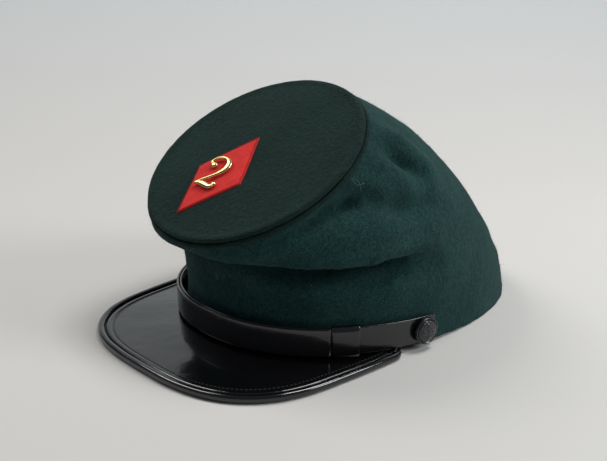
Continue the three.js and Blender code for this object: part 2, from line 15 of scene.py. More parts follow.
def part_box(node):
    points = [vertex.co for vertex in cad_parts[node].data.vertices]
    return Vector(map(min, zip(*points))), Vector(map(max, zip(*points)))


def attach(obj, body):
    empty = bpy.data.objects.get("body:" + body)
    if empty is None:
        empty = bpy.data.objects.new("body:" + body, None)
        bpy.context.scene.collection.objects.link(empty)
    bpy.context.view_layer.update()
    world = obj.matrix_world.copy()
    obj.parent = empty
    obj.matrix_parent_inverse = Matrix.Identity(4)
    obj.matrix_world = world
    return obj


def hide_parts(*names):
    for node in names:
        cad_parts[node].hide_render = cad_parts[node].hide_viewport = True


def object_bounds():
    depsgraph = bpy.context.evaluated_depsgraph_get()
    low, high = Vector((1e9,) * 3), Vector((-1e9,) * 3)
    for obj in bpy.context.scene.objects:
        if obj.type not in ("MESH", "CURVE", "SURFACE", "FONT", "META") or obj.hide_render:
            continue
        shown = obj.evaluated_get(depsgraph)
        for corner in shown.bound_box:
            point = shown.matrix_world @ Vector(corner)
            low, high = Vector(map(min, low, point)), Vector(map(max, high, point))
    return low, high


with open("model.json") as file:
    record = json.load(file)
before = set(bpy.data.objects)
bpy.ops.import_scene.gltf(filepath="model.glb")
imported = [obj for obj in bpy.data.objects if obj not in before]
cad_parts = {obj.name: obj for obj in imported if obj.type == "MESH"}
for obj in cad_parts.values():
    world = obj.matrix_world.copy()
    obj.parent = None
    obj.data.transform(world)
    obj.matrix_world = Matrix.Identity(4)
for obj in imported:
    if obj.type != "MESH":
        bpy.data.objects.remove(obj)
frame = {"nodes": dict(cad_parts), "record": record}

CAD_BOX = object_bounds()
MM = 0.001

# The camera: degrees round the cap and above its hem, metres away, and a lens in millimetres.
CAMERA_AZIMUTH = 45.08
CAMERA_ELEVATION = 17.52
CAMERA_DISTANCE = 0.470
CAMERA_LENS = 45.41
SENSOR_WIDTH = 36.0
NEAR_CLIP = 0.01
VIEW_OFFSET = (-0.02877, 0.03595)  # metres to the right and up from the line to the opening's centre
HEM_BACK_TO_CENTRE = 0.1039  # metres from the rest mount forwards to the opening's centre

FLOOR_CLEARANCE = 0.02 * MM  # nothing reaches below the surface that the cap rests on
RNG = np.random.default_rng(7)


# ---------------------------------------------------------------- materials
class Nodes:
    """Short hand for building one material's node tree."""

    def __init__(self, name):
        self.material = bpy.data.materials.new(name)
        self.material.use_nodes = True
        self.tree = self.material.node_tree
        self.shader = self.tree.nodes["Principled BSDF"]
        self.place = self.add("ShaderNodeTexCoord").outputs["Object"]

    def add(self, kind, **values):
        node = self.tree.nodes.new(kind)
        for key, value in values.items():
            setattr(node, key, value)
        return node

    def link(self, source, target):
        self.tree.links.new(source, target)

    def feed(self, name, source):
        """Links a source to one of the shader's inputs."""
        self.link(source, self.shader.inputs[name])

    def noise(self, scale, detail=3.0, roughness=0.6):
        node = self.add("ShaderNodeTexNoise")
        node.inputs["Scale"].default_value = scale
        node.inputs["Detail"].default_value = detail
        node.inputs["Roughness"].default_value = roughness
        self.link(self.place, node.inputs["Vector"])
        return node.outputs["Fac"]

    def ramp(self, factor, stops):
        node = self.add("ShaderNodeValToRGB")
        ramp = node.color_ramp
        while len(ramp.elements) < len(stops):
            ramp.elements.new(0.5)
        for element, (position, color) in zip(ramp.elements, stops):
            element.position = position
            element.color = (*color, 1.0)
        self.link(factor, node.inputs["Fac"])
        return node.outputs["Color"]

    def multiply(self, a, b):
        node = self.add("ShaderNodeMix", data_type="RGBA", blend_type="MULTIPLY")
        node.inputs["Factor"].default_value = 1.0
        self.link(a, node.inputs["A"])
        self.link(b, node.inputs["B"])
        return node.outputs["Result"]

    def value_range(self, source, low, high):
        node = self.add("ShaderNodeMapRange")
        node.inputs["To Min"].default_value = low
        node.inputs["To Max"].default_value = high
        self.link(source, node.inputs["Value"])
        return node.outputs["Result"]

    def bump(self, height, distance, strength=1.0, below=None):
        node = self.add("ShaderNodeBump")
        node.inputs["Distance"].default_value = distance
        node.inputs["Strength"].default_value = strength
        self.link(height, node.inputs["Height"])
        if below is not None:
            self.link(below, node.inputs["Normal"])
        return node.outputs["Normal"]

    def set(self, **values):
        for name, value in values.items():
            self.shader.inputs[name.replace("_", " ")].default_value = value


def wool_material(name, dark, light):
    """Fulled wool: mottled fibres, broad worn patches, a soft sheen and a fine nap in the bump."""
    n = Nodes(name)
    fibres = n.noise(1500.0, 5.0, 0.8)
    flecks = n.noise(520.0, 3.0, 0.7)
    patches = n.noise(28.0, 3.0, 0.5)
    fine = n.ramp(fibres, [(0.36, dark), (0.64, light)])
    broad = n.ramp(patches, [(0.3, (0.78, 0.8, 0.82)), (0.72, (1.16, 1.14, 1.1))])
    lit = n.multiply(fine, broad)
    specks = n.ramp(flecks, [(0.3, (0.62, 0.66, 0.7)), (0.7, (1.36, 1.3, 1.26))])
    n.feed("Base Color", n.multiply(lit, specks))
    felted = n.bump(n.noise(420.0, 3.0, 0.65), 0.0008, 0.8)
    n.feed("Normal", n.bump(fibres, 0.0004, 0.9, felted))
    n.set(Roughness=0.95, Specular_IOR_Level=0.12, Sheen_Weight=0.1, Sheen_Roughness=0.5)
    n.set(Sheen_Tint=(0.42, 0.62, 0.6, 1.0))
    return n.material


def leather_material(name, color, roughness, coat, grain):
    """Black finished leather: fine grain, faint scuffs and an uneven polish."""
    n = Nodes(name)
    scuffs = n.noise(160.0, 5.0, 0.7)
    wear = n.noise(34.0, 3.0, 0.5)
    low = tuple(0.7 * c for c in color)
    high = tuple(1.5 * c for c in color)
    n.feed("Base Color", n.ramp(wear, [(0.3, low), (0.7, high)]))
    n.feed("Roughness", n.value_range(scuffs, roughness * 0.7, roughness * 1.4))
    cells = n.add("ShaderNodeTexVoronoi")
    cells.inputs["Scale"].default_value = 900.0
    n.link(n.place, cells.inputs["Vector"])
    ripples = n.bump(n.noise(70.0, 2.0, 0.5), 0.0012, grain)
    n.feed("Normal", n.bump(cells.outputs["Distance"], 0.00008, 0.35, ripples))
    n.set(Specular_IOR_Level=0.5, Coat_Weight=coat, Coat_Roughness=0.06)
    return n.material


def hard_rubber_material():
    """Polished black hard rubber with an uneven gloss."""
    n = Nodes("hard_rubber")
    wear = n.noise(500.0, 3.0, 0.6)
    n.feed("Base Color", n.ramp(wear, [(0.3, (0.008, 0.008, 0.009)), (0.75, (0.02, 0.02, 0.022))]))
    n.feed("Roughness", n.value_range(wear, 0.16, 0.34))
    n.feed("Normal", n.bump(wear, 0.00006, 0.4))
    n.set(Specular_IOR_Level=0.6)
    return n.material


def felt_material():
    """Bright red felt with a fine fibrous grain."""
    n = Nodes("red_felt")
    fibres = n.noise(2200.0, 4.0, 0.75)
    patches = n.noise(160.0, 2.0, 0.5)
    fine = n.ramp(fibres, [(0.3, (0.56, 0.012, 0.012)), (0.7, (0.86, 0.03, 0.026))])
    broad = n.ramp(patches, [(0.2, (0.86, 0.8, 0.8)), (0.8, (1.1, 1.1, 1.1))])
    n.feed("Base Color", n.multiply(fine, broad))
    n.feed("Normal", n.bump(fibres, 0.0003, 0.8))
    n.set(Roughness=0.9, Specular_IOR_Level=0.2, Sheen_Weight=0.25, Sheen_Tint=(1.0, 0.5, 0.45, 1.0))
    return n.material


def brass_material():
    """Polished brass, a little tarnished in patches."""
    n = Nodes("polished_brass")
    tarnish = n.noise(420.0, 4.0, 0.6)
    n.feed("Base Color", n.ramp(tarnish, [(0.3, (0.60, 0.38, 0.13)), (0.7, (0.88, 0.66, 0.32))]))
    n.feed("Roughness", n.value_range(tarnish, 0.14, 0.32))
    n.feed("Normal", n.bump(n.noise(260.0, 2.0, 0.5), 0.0001, 0.5))
    n.set(Metallic=1.0)
    return n.material


def thread_material(name, color, roughness):
    """Twisted thread, with painted shade between its twists: its colour is darker where the bump is low."""
    n = Nodes(name)
    twist_and_shade = n.noise(3200.0, 2.0, 0.5)
    low = tuple(0.6 * c for c in color)
    # Painted shade: the colour follows the twist's bump and is darker in its low parts.
    n.feed("Base Color", n.ramp(twist_and_shade, [(0.35, low), (0.65, color)]))
    n.feed("Normal", n.bump(twist_and_shade, 0.0001, 0.6))
    n.set(Roughness=roughness, Specular_IOR_Level=0.4)
    return n.material


def stage_material(name, floor_color, backdrop_color):
    """Plain matt paper that turns from the floor's color to the backdrop's as it rises."""
    n = Nodes(name)
    split = n.add("ShaderNodeSeparateXYZ")
    n.link(n.place, split.inputs["Vector"])
    n.feed("Base Color", n.ramp(split.outputs["Z"], [(0.0, floor_color), (0.25, backdrop_color)]))
    n.set(Roughness=0.85, Specular_IOR_Level=0.2)
    return n.material


WOOL_SIDE = wool_material("wool_side", (0.0026, 0.0150, 0.0145), (0.0190, 0.068, 0.064))
# Painted shade: the round top's wool is the side's wool at about half the brightness. The lamps light the
# upward-facing top more, so this makes it come out darker. The welt uses this wool too.
WOOL_TOP_PAINTED_SHADE = wool_material("wool_top", (0.0020, 0.0085, 0.0072), (0.0125, 0.036, 0.030))
PEAK_LEATHER = leather_material("peak_leather", (0.0026, 0.0026, 0.0030), 0.13, 0.4, 0.3)
STRAP_LEATHER = leather_material("strap_leather", (0.0042, 0.0043, 0.0050), 0.2, 0.35, 0.2)
HARD_RUBBER = hard_rubber_material()
FELT = felt_material()
BRASS = brass_material()
BLACK_THREAD = thread_material("black_thread", (0.02, 0.02, 0.021), 0.5)
RED_THREAD = thread_material("red_thread", (0.42, 0.012, 0.012), 0.7)
LINT = thread_material("pale_lint", (0.32, 0.36, 0.34), 0.8)


# ---------------------------------------------------------------- building pieces
MERGE_DISTANCE = 0.01 * MM  # CAD corners nearer than this become one
QUAD_FLATNESS = math.radians(40)  # two triangles that bend less than this may join into a quad
QUAD_SHAPE = math.radians(60)  # and the quad's corners may be this far from square
CREASE_WEIGHT = 0.6
SMOOTH_LEVELS = 2


def placed(name, data):
    """A new object in the scene."""
    obj = bpy.data.objects.new(name, data)
    bpy.context.scene.collection.objects.link(obj)
    return obj


def shade_smooth(mesh):
    for polygon in mesh.polygons:
        polygon.use_smooth = True


def volume(mesh):
    """The volume that a closed mesh encloses, negative if its faces look inwards."""
    bm = bmesh.new()
    bm.from_mesh(mesh)
    enclosed = bm.calc_volume(signed=True)
    bm.free()
    return enclosed


def piece(name, mesh, material, slot, *nodes):
    """Adds a mesh as a piece of the cap, in place of the CAD nodes named."""
    mesh.materials.clear()
    mesh.materials.append(material)
    shade_smooth(mesh)
    co = coordinates(mesh)
    co[:, 2] = np.maximum(co[:, 2], FLOOR_CLEARANCE)
    set_coordinates(mesh, co)
    if volume(mesh) < 0:
        mesh.flip_normals()
    obj = placed(name, mesh)
    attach(obj, "root")
    if nodes:
        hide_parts(*nodes)
    return obj


def mesh_from(name, vertices, faces):
    mesh = bpy.data.meshes.new(name)
    mesh.from_pydata([tuple(v) for v in vertices], [], faces)
    mesh.update()
    return mesh


def refined(node, crease_above=None):
    """A smooth, finer copy of a CAD node's mesh.

    Edges sharper than crease_above degrees stay fairly sharp.
    """
    bm = bmesh.new()
    bm.from_mesh(frame["nodes"][node].data)
    bmesh.ops.remove_doubles(bm, verts=bm.verts, dist=MERGE_DISTANCE)
    bmesh.ops.join_triangles(
        bm, faces=bm.faces, angle_face_threshold=QUAD_FLATNESS, angle_shape_threshold=QUAD_SHAPE)
    if crease_above is not None:
        crease = bm.edges.layers.float.new("crease_edge")
        for edge in bm.edges:
            if edge.is_manifold and edge.calc_face_angle() > math.radians(crease_above):
                edge[crease] = CREASE_WEIGHT
    mesh = bpy.data.meshes.new(node + "_copy")
    bm.to_mesh(mesh)
    bm.free()
    obj = placed(node + "_copy", mesh)
    modifier = obj.modifiers.new("smooth", "SUBSURF")
    modifier.levels = SMOOTH_LEVELS
    modifier.render_levels = SMOOTH_LEVELS
    modifier.boundary_smooth = "PRESERVE_CORNERS"
    return with_modifiers(obj)


def with_modifiers(obj):
    """An object's mesh after its modifiers. The object itself is removed."""
    bpy.context.view_layer.update()
    result = bpy.data.meshes.new_from_object(obj.evaluated_get(bpy.context.evaluated_depsgraph_get()))
    bpy.data.objects.remove(obj)
    return result


def coordinates(mesh):
    co = np.zeros(len(mesh.vertices) * 3)
    mesh.vertices.foreach_get("co", co)
    return co.reshape(-1, 3)


def normals(mesh):
    values = np.zeros(len(mesh.vertices) * 3)
    mesh.vertices.foreach_get("normal", values)
    return values.reshape(-1, 3)


def set_coordinates(mesh, co):
    mesh.vertices.foreach_set("co", co.ravel())
    mesh.update()


def wrinkled(mesh, layers):
    """Moves the cloth along its normals by soft noise: layers of (size in metres, height in metres)."""
    co = coordinates(mesh)
    push = np.zeros(len(co))
    for size, height in layers:
        push += height * np.array([noise.noise(Vector(p) / size) for p in co])
    set_coordinates(mesh, co + normals(mesh) * push[:, None])
    return mesh


def joined(name, parts):
    """One mesh from (vertices, faces) parts."""
    vertices = []
    faces = []
    for part_vertices, part_faces in parts:
        start = len(vertices)
        vertices.extend(part_vertices)
        faces.extend([tuple(start + i for i in face) for face in part_faces])
    return mesh_from(name, vertices, faces)


def lofted(sections):
    """A closed solid through sections of equally many points, as (vertices, faces)."""
    size = len(sections[0])
    vertices = [vertex for section in sections for vertex in section]
    faces = []
    for row in range(len(sections) - 1):
        start, following = row * size, (row + 1) * size
        for k in range(size):
            after = (k + 1) % size
            faces.append((start + k, start + after, following + after, following + k))
    faces.append(tuple(range(size))[::-1])
    faces.append(tuple(range(len(vertices) - size, len(vertices))))
    return vertices, faces


def tube(points, radii, sides=6):
    """A closed tube through points, as (vertices, faces)."""
    points = [Vector(p) for p in points]
    sections = []
    for i, point in enumerate(points):
        along = (points[min(i + 1, len(points) - 1)] - points[max(i - 1, 0)]).normalized()
        across = along.cross(Vector((0.31, 0.17, 0.93))).normalized()
        other = along.cross(across)
        section = []
        for k in range(sides):
            angle = 2 * math.pi * k / sides
            section.append(point + radii[i] * (math.cos(angle) * across + math.sin(angle) * other))
        sections.append(section)
    return lofted(sections)


def round_mesh(name, vertices, columns):
    """A closed mesh from a first point, rings of as many points as columns, and a last point."""
    rings = (len(vertices) - 2) // columns
    last = 1 + (rings - 1) * columns
    faces = []
    for k in range(columns):
        after = (k + 1) % columns
        faces.append((0, 1 + k, 1 + after))
        for ring in range(rings - 1):
            a, b = 1 + ring * columns, 1 + (ring + 1) * columns
            faces.append((a + k, b + k, b + after, a + after))
        faces.append((last + k, len(vertices) - 1, last + after))
    return mesh_from(name, vertices, faces)


# ---------------------------------------------------------------- the round top's own frame
def plane_of(node):
    """The middle of a flat round node's top, its left, backward and outward directions, and its radius."""
    co = coordinates(frame["nodes"][node].data)
    centre = co.mean(0)
    spread = co - centre
    out = np.linalg.svd(spread, full_matrices=False)[2][2]
    out = out if out[2] > 0 else -out
    left = np.cross((0, 1, 0), out)
    left /= np.linalg.norm(left)
    back = np.cross(out, left)
    heights = spread @ out
    radius = np.linalg.norm(spread - np.outer(heights, out), axis=1).max()
    middle = centre + left * ((spread @ left).max() + (spread @ left).min()) / 2
    middle = middle + back * ((spread @ back).max() + (spread @ back).min()) / 2
    return middle + out * heights.max(), left, back, out, radius


TOP_POINT, TOP_LEFT, TOP_BACK, TOP_OUT, TOP_RADIUS = plane_of("crown_top")
TOP_ROLL_RADIUS = TOP_RADIUS + 1.25 * MM  # the cloth rolls over the welt to here
TOP_SINK = 0.35 * MM  # the cloth lies this much below the CAD's flat top on average
TOP_BEAD_RISE = 0.45 * MM  # a low ridge runs round just inside the edge
TOP_BEAD_SHARE = 0.985  # its place as a share of the radius
TOP_BEAD_WIDTH = 0.022  # its width as a share of the radius


def on_top(left, back, rise):
    """A point on the round top: metres to the left of its centre, backwards, and above it."""
    return TOP_POINT + left * TOP_LEFT + back * TOP_BACK + rise * TOP_OUT


def top_height(left, back):
    """The top's gentle unevenness, in metres; its edge stays level."""
    share = min(1.0, math.hypot(left, back) / TOP_RADIUS)
    waves = noise.noise(Vector((left, back, 0.3)) / 0.035) * 0.9 * MM
    waves += noise.noise(Vector((left, back, 4.1)) / 0.012) * 0.22 * MM
    bead = TOP_BEAD_RISE * math.exp(-((share - TOP_BEAD_SHARE) / TOP_BEAD_WIDTH) ** 2)
    return (1 - share ** 6) * (waves - TOP_SINK) + bead


# ---------------------------------------------------------------- the crown
FOLD_PASSES = 60  # rounds of smoothing that take the folds out of the copy that they are measured from
FOLD_GAIN = 0.9
FOLD_LIMIT = 2.6 * MM
HEM_KEPT, HEM_FADE = 18 * MM, 8 * MM  # the folds start this high and have their full depth 8 mm on
SEAM_KEPT, SEAM_FADE = 7 * MM, 6 * MM  # and likewise below the plane of the round top
WELT_DROP = 2.3 * MM  # the welt shows this much below the CAD's place for it
TOP_RINGS, TOP_COLUMNS = 44, 180
ROLL_ANGLES = (25, 45, 65, 82, 100, 120, 140, 155)  # degrees round the top's rolled edge
TOP_THICKNESS = 1.9 * MM
HOLLOW_MIDDLE_HEIGHT = 0.03


def faded(distance, start, length):
    """0 up to start, rising to 1 over the length after it."""
    return np.clip((distance - start) / length, 0, 1)


def deepen_folds(mesh):
    """Pushes the cloth away from a smoothed copy of itself, except near the hem and the top's seam."""
    co = coordinates(mesh)
    ends = np.zeros(len(mesh.edges) * 2, dtype=np.int64)
    mesh.edges.foreach_get("vertices", ends)
    ends = ends.reshape(-1, 2)
    both = np.concatenate([ends, ends[:, ::-1]])
    count = np.bincount(both[:, 0], minlength=len(co))[:, None]
    smooth = co.copy()
    for _ in range(FOLD_PASSES):
        around = np.stack([np.bincount(both[:, 0], smooth[both[:, 1], i], len(co)) for i in range(3)], 1)
        smooth = around / count
    depth = ((co - smooth) * normals(mesh)).sum(1)
    under_top = -((co - TOP_POINT) @ TOP_OUT)
    free = faded(co[:, 2], HEM_KEPT, HEM_FADE) * faded(under_top, SEAM_KEPT, SEAM_FADE)
    push = np.clip(FOLD_GAIN * depth * free, -FOLD_LIMIT, FOLD_LIMIT)
    set_coordinates(mesh, co + normals(mesh) * push[:, None])


def crown_side():
    """The slumped tube of wool, with deeper folds and a felted unevenness."""
    mesh = refined("crown_side", crease_above=60)
    deepen_folds(mesh)
    wrinkled(mesh, [(0.020, 0.7 * MM), (0.008, 0.35 * MM), (0.003, 0.12 * MM)])
    return piece("wool_side", mesh, WOOL_SIDE, "wool_side", "crown_side")


def crown_top():
    """The round top: its cloth runs out over the welt and turns down round it."""
    rings = [(TOP_RADIUS * i / TOP_RINGS, 0.0) for i in range(1, TOP_RINGS + 1)]
    turn = TOP_ROLL_RADIUS - TOP_RADIUS
    for angle in np.radians(ROLL_ANGLES):
        rings.append((TOP_RADIUS + turn * math.sin(angle), -turn * (1 - math.cos(angle))))
    rings += [(TOP_RADIUS - 0.8 * MM, -2.2 * MM), (TOP_RADIUS / 2, -TOP_THICKNESS)]
    vertices = [on_top(0, 0, top_height(0, 0))]
    for radius, drop in rings:
        for k in range(TOP_COLUMNS):
            angle = 2 * math.pi * k / TOP_COLUMNS
            left, back = radius * math.sin(angle), -radius * math.cos(angle)
            uneven = 0.0
            if radius > TOP_RADIUS:
                uneven = 0.16 * MM * noise.noise(Vector((left, back, 9.0)) / 0.006)
            vertices.append(on_top(left, back, top_height(left, back) + drop + uneven))
    vertices.append(on_top(0, 0, top_height(0, 0) - TOP_THICKNESS))
    mesh = round_mesh("wool_top", vertices, TOP_COLUMNS)
    # The top's wool carries painted shade: it is darker than the side's.
    return piece("wool_top", mesh, WOOL_TOP_PAINTED_SHADE, "wool_top", "crown_top")


def crown_welt():
    """The piping under the rolled edge of the round top."""
    mesh = refined("crown_welt")
    set_coordinates(mesh, coordinates(mesh) - WELT_DROP * TOP_OUT)
    wrinkled(mesh, [(0.010, 0.25 * MM), (0.003, 0.12 * MM)])
    # The welt shares the top's darker wool and its painted shade.
    return piece("wool_welt", mesh, WOOL_TOP_PAINTED_SHADE, "wool_side", "crown_welt")


def outside_of_side(points, directions):
    """True for the side's outer face: it looks away from a point in the middle of the hollow."""
    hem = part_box("crown_side")
    middle = np.array(((hem[0][0] + hem[1][0]) / 2, (hem[0][1] + hem[1][1]) / 2, HOLLOW_MIDDLE_HEIGHT))
    return ((points - middle) * directions).sum(1) > 2 * MM


HAIRS = 44000
HAIR_SHORTEST, HAIR_LONGER = 0.5, 0.55  # millimetres: the least length, and what is added on average
HAIR_RADII = (0.025, 0.05)  # millimetres
HAIR_DISORDER = 0.75  # how far they lean at random from straight out
HAIR_LOWEST, HAIR_RAISED = 0.12, 0.2  # a hair nearer to lying flat than the first is raised to the second
HAIR_ROOT = 0.1 * MM
HAIR_CLEARANCE = 0.5 * MM  # none hangs lower than this over the floor


def spike(root, outward, lean, length, width):
    """One hair: a three-sided spike from just below the surface, as (vertices, faces)."""
    side = np.cross(lean, (0.3, 0.5, 0.8))
    side /= np.linalg.norm(side)
    other = np.cross(lean, side)
    foot = root - HAIR_ROOT * outward
    vertices = [
        foot + width * side,
        foot + width * (-0.5 * side + 0.87 * other),
        foot + width * (-0.5 * side - 0.87 * other),
        root + length * lean,
    ]
    return vertices, ((0, 2, 1), (0, 1, 3), (1, 2, 3), (2, 0, 3))


def wool_nap(covered, count):
    """Short loose fibres that stand off the wool: (object, share of the hairs, test of a face) each."""
    parts = []
    for obj, share, grows_on in covered:
        mesh = obj.data
        mesh.calc_loop_triangles()
        co = coordinates(mesh)
        triangles = np.array([t.vertices[:] for t in mesh.loop_triangles])
        a, b, c = (co[triangles[:, i]] for i in range(3))
        cross = np.cross(b - a, c - a)
        area = np.linalg.norm(cross, axis=1)
        outward = cross / np.maximum(area, 1e-15)[:, None]
        area = np.where(grows_on(a, outward), area, 0.0)
        picks = RNG.choice(len(area), size=int(count * share), p=area / area.sum())
        for t in picks:
            u, v = sorted(RNG.random(2))
            root = a[t] * u + b[t] * (v - u) + c[t] * (1 - v)
            lean = outward[t] + RNG.normal(0, HAIR_DISORDER, 3)
            lean /= np.linalg.norm(lean)
            if lean @ outward[t] < HAIR_LOWEST:
                lean = lean + (HAIR_RAISED - lean @ outward[t]) * outward[t]
            length = (HAIR_SHORTEST + RNG.exponential(HAIR_LONGER)) * MM
            if root[2] + min(0.0, length * lean[2]) < HAIR_CLEARANCE:
                continue
            parts.append(spike(root, outward[t], lean, length, RNG.uniform(*HAIR_RADII) * MM))
    return piece("wool_nap", joined("wool_nap", parts), WOOL_SIDE, "wool_side")


LINT_LOWEST = 0.02
SPECK_LENGTHS = (0.2, 0.6)  # millimetres
SPECK_RADII = (0.06 * MM, 0.11 * MM, 0.05 * MM)
LINT_HAIR_LENGTHS = (3, 8)  # millimetres
LINT_HAIR_RADIUS = 0.035 * MM
LINT_HAIR_POINTS = 9


def lint(obj, specks, hairs):
    """A few pale specks and curved hairs caught on the wool."""
    co = coordinates(obj.data)
    out = normals(obj.data)
    chosen = np.flatnonzero(outside_of_side(co, out) & (co[:, 2] > LINT_LOWEST))
    parts = []
    for i in RNG.choice(chosen, specks):
        start = Vector(co[i] + 0.1 * MM * out[i])
        end = start + Vector(RNG.normal(0, 1, 3)).normalized() * float(RNG.uniform(*SPECK_LENGTHS)) * MM
        parts.append(tube([start, (start + end) / 2, end], SPECK_RADII, 5))
    for i in RNG.choice(chosen, hairs):
        start = Vector(co[i] + 0.15 * MM * out[i])
        normal = Vector(out[i])
        along = normal.orthogonal().normalized()
        along.rotate(Matrix.Rotation(float(RNG.uniform(0, 2 * math.pi)), 3, normal))
        across = normal.cross(along)
        length = float(RNG.uniform(*LINT_HAIR_LENGTHS)) * MM
        points = []
        for share in np.linspace(0, 1, LINT_HAIR_POINTS):
            share = float(share)
            arch = math.sin(math.pi * share)
            bow = 0.25 * length * arch
            points.append(start + share * length * along + bow * across + 0.5 * MM * arch * normal)
        parts.append(tube(points, [LINT_HAIR_RADIUS] * LINT_HAIR_POINTS, 5))
    return piece("lint", joined("lint", parts), LINT, "wool_side")


# ---------------------------------------------------------------- the peak
PEAK_SQUARENESS = 3.0  # the exponent of the outline's curve: 2 would be an ellipse
PEAK_MARGIN = 0.1 * MM  # the curve is this much wider than the binding's box on either side
PEAK_CORNER = 6 * MM  # from the binding's rear end to the start of the curve
PEAK_WAIST = 2.2 * MM  # the outline is drawn in by this much
PEAK_WAIST_PLACE = 37 * MM  # this far in front of the start of the curve
PEAK_WAIST_LENGTH = 25 * MM
BINDING_WIDTH = 4.3 * MM
ABOVE_PEAK = 50 * MM


def peak_outline(inset, count=240):
    """The peak's bound edge in plan, moved inwards, worked out from the binding's box."""
    low, high = (np.array(corner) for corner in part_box("peak_binding"))
    middle = (low[0] + high[0]) / 2
    half = (high[0] - low[0]) / 2 + PEAK_MARGIN
    rear = high[1] - PEAK_CORNER
    depth = rear - low[1]
    points = []
    for i in range(count + 1):
        angle = math.pi * (i / count - 0.5)
        x = (half - inset) * abs(math.sin(angle)) ** (2 / PEAK_SQUARENESS)
        y = rear - (depth - inset) * abs(math.cos(angle)) ** (2 / PEAK_SQUARENESS)
        from_waist = (y - rear + PEAK_WAIST_PLACE) / PEAK_WAIST_LENGTH
        x -= PEAK_WAIST * math.exp(-from_waist ** 2)
        points.append((middle + math.copysign(x, angle), y))
    return even(points, count)


def even(points, count):
    """The same line with points at equal distances."""
    points = np.array(points)
    steps = np.linalg.norm(np.diff(points, axis=0), axis=1)
    length = np.concatenate([[0], np.cumsum(steps)])
    places = np.linspace(0, length[-1], count + 1)
    return np.stack([np.interp(places, length, points[:, i]) for i in range(points.shape[1])], 1)


def surface_height(mesh):
    """A function giving the height of a mesh's upper side at x, y, or None outside it."""
    bm = bmesh.new()
    bm.from_mesh(mesh)
    tree = BVHTree.FromBMesh(bm)
    bm.free()

    def height(x, y):
        hit = tree.ray_cast(Vector((x, y, ABOVE_PEAK)), Vector((0, 0, -1)))[0]
        return hit.z if hit else None

    return height


def peak():
    """The leather crescent and its bound edge. Returns the height of the leather at x, y."""
    mesh = wrinkled(refined("peak", crease_above=50), [(0.030, 0.25 * MM)])
    height = surface_height(mesh)
    piece("peak_leather", mesh, PEAK_LEATHER, "peak_leather", "peak")
    binding = wrinkled(refined("peak_binding", crease_above=70), [(0.012, 0.15 * MM)])
    piece("peak_rolled_edge", binding, PEAK_LEATHER, "peak_leather", "peak_binding")
    return height


BAND_EDGES = (0.1 * MM, 2.9 * MM)  # from the binding's inner edge to the band's two edges
BAND_RISE = 0.45 * MM
# The band's section: a share of the way across it, and of its rise.
BAND_SECTION = ((0.0, -0.3), (0.03, 0.5), (0.2, 0.9), (0.5, 1.0), (0.8, 0.9), (0.97, 0.5), (1.0, -0.3))


def peak_band(height):
    """The binding's flat inner band, a low strip on the leather inside the rolled edge."""
    outer, inner = (peak_outline(BINDING_WIDTH + edge) for edge in BAND_EDGES)
    sections = []
    for start, end in zip(outer, inner):
        if height(*start) is None or height(*end) is None:
            continue
        section = []
        for share, lift in BAND_SECTION:
            x, y = start + (end - start) * share
            section.append((x, y, (height(x, y) or height(*end)) + lift * BAND_RISE))
        sections.append(section)
    mesh = mesh_from("peak_band", *lofted(sections))
    return piece("peak_band", mesh, PEAK_LEATHER, "peak_leather")


STITCH_INSET = 3.7 * MM  # from the binding's inner edge
STITCH_SPACING = 2.1 * MM
STITCH_LENGTH = 0.72  # as a share of the spacing
STITCH_SHARES = (0.0, 0.2, 0.5, 0.8, 1.0)  # the points along one stitch
STITCH_RISE = 0.22 * MM
STITCH_SINK = 0.06 * MM  # how far its ends go into the leather
FIRST_STITCH = 8  # points of the outline left free before it


def peak_stitches(height):
    """A row of black lock stitches inside the band."""
    line = peak_outline(BINDING_WIDTH + STITCH_INSET, 1200)
    stride = max(2, round(STITCH_SPACING / np.linalg.norm(line[1] - line[0])))
    reach = max(1, round(stride * STITCH_LENGTH))
    parts = []
    for i in range(FIRST_STITCH, len(line) - stride, stride):
        points = []
        radii = []
        for share in STITCH_SHARES:
            x, y = line[i] + (line[i + reach] - line[i]) * share
            z = height(x, y)
            if z is None:
                break
            arch = math.sin(math.pi * share)
            points.append((x, y, z + STITCH_RISE * arch - STITCH_SINK))
            radii.append((0.1 + 0.14 * arch) * MM)
        if len(points) == len(STITCH_SHARES):
            parts.append(tube(points, radii))
    return piece("peak_stitches", joined("peak_stitches", parts), BLACK_THREAD, "peak_leather")


# ---------------------------------------------------------------- the chin strap
def strap_parts():
    """The strap's two layers and the two keepers round them."""
    for node, name in (
        ("strap_inner", "strap_inner_leather"),
        ("strap_outer", "strap_outer_leather"),
        ("keeper_left", "keeper_left_leather"),
        ("keeper_right", "keeper_right_leather"),
    ):
        mesh = wrinkled(refined(node, crease_above=30), [(0.018, 0.12 * MM)])
        piece(name, mesh, STRAP_LEATHER, "strap_leather", node)


# ---------------------------------------------------------------- the buttons
BUTTON_RADIUS = 7.15 * MM
BUTTON_EDGE = 0.56  # the height of the raised edge, as a share of the button's
BUTTON_COLUMNS = 96
GROOVE_DEPTH = 0.45 * MM
DOME_RADIUS = BUTTON_RADIUS - 1.1 * MM
DOME_RINGS = 26
PETAL_RISE = 0.42 * MM
BOSS_RISE = 0.3 * MM
BEAD_RISE = 0.22 * MM


def button_frame(node, side):
    """The middle of a button's back, its outward, across and up directions, and its height."""
    co = coordinates(frame["nodes"][node].data)
    centre = (co.min(0) + co.max(0)) / 2
    out = np.linalg.svd(co - co.mean(0), full_matrices=False)[2][2]
    out = out if out @ np.array((side, 0, 0)) > 0 else -out
    across = np.cross(out, (0, 0, 1))
    across /= np.linalg.norm(across)
    up = np.cross(across, out)
    heights = (co - centre) @ out
    back = centre + out * heights.min()
    radial = (co - back) - np.outer((co - back) @ out, out)
    back = back + (radial.max(0) + radial.min(0)) / 2
    return back, out, across, up, heights.max() - heights.min()


